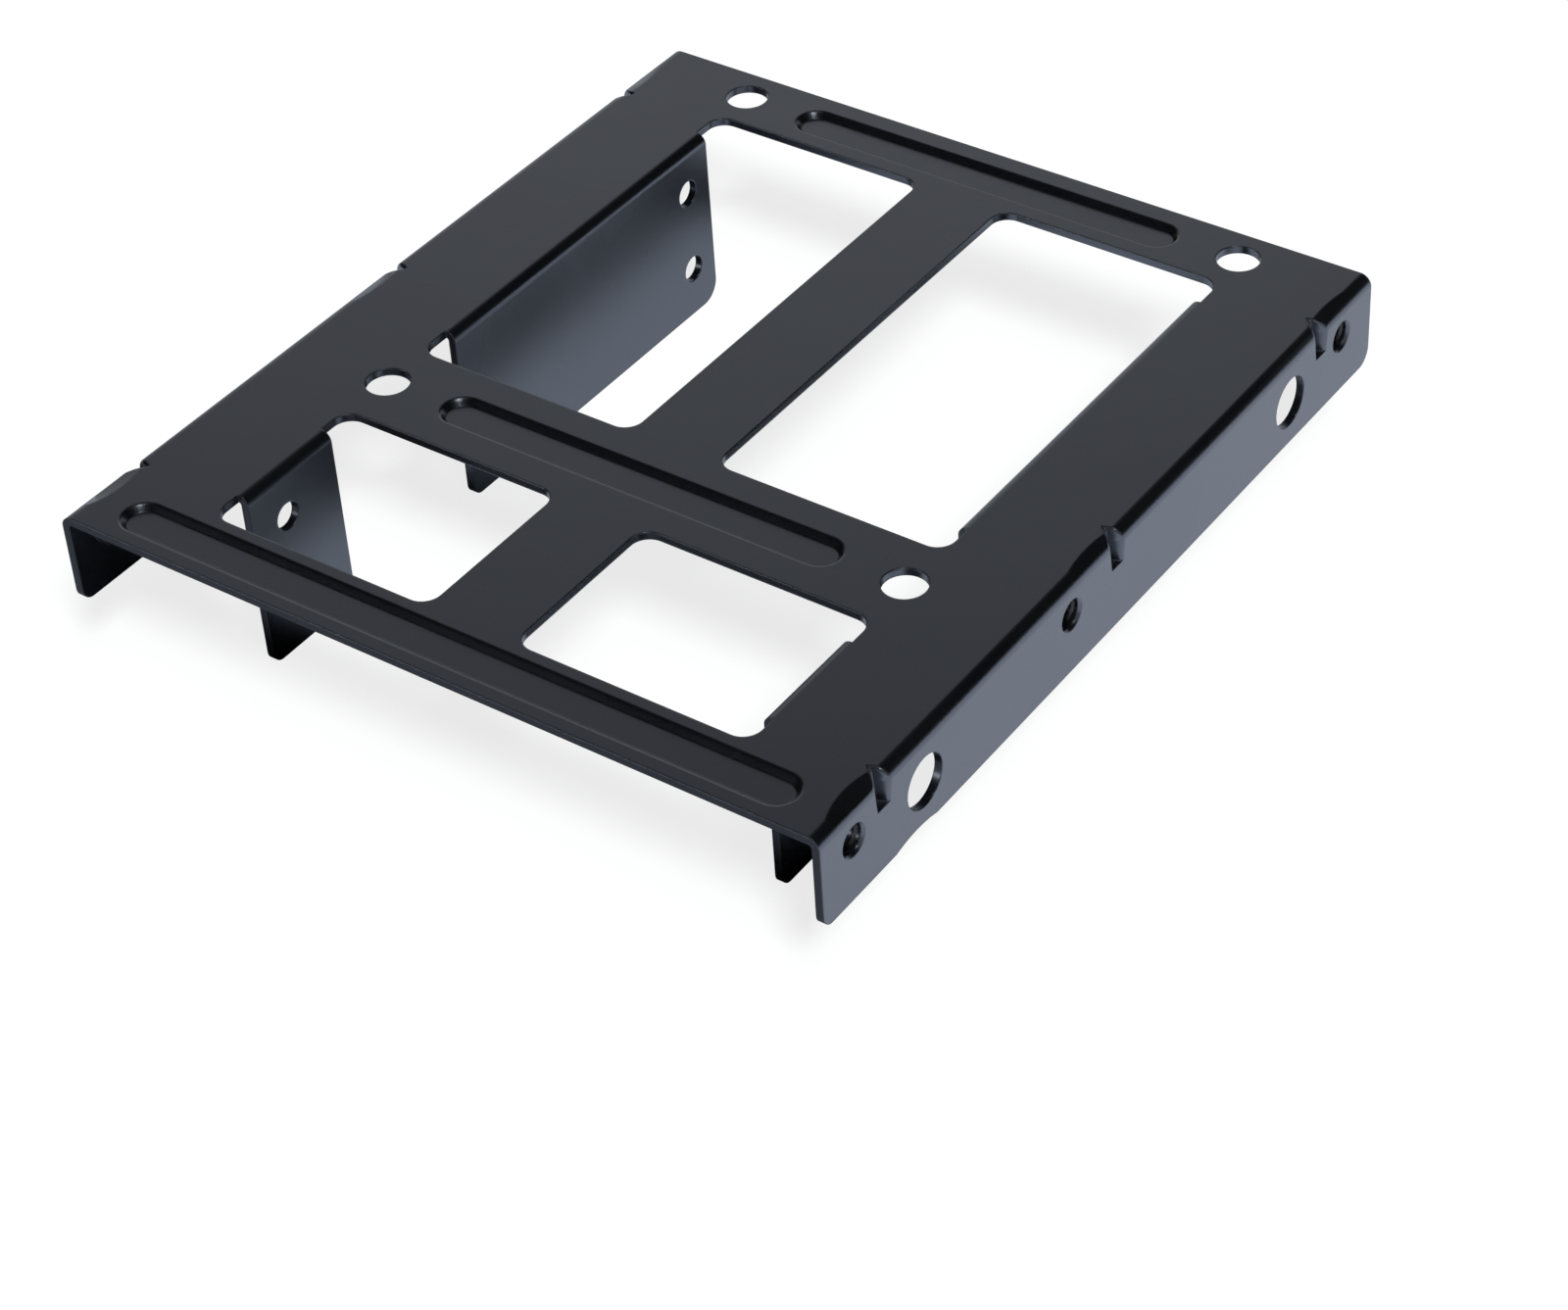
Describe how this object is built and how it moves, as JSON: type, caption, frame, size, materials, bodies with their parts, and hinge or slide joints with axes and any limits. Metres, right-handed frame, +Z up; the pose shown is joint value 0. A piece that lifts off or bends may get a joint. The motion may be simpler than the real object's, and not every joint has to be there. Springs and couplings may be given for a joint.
{
  "type": "drive bay adapter bracket",
  "caption": "Folded sheet-steel bracket with four windows, pressed beads and inner tabs that carries small drives in a wider drive bay.",
  "frame": {"origin": "centre of the bracket's footprint, at the lower edges of the inner tabs, on which it stands", "axes": "+X to the right across the bracket, +Y from the front edge to the back edge, +Z up, square to the plate"},
  "size_m": [0.1016, 0.1146, 0.024],
  "materials": {
    "black_paint": "satin black powder coat"
  },
  "bodies": {
    "root": {"bracket": "black_paint"}
  },
  "joints": []
}
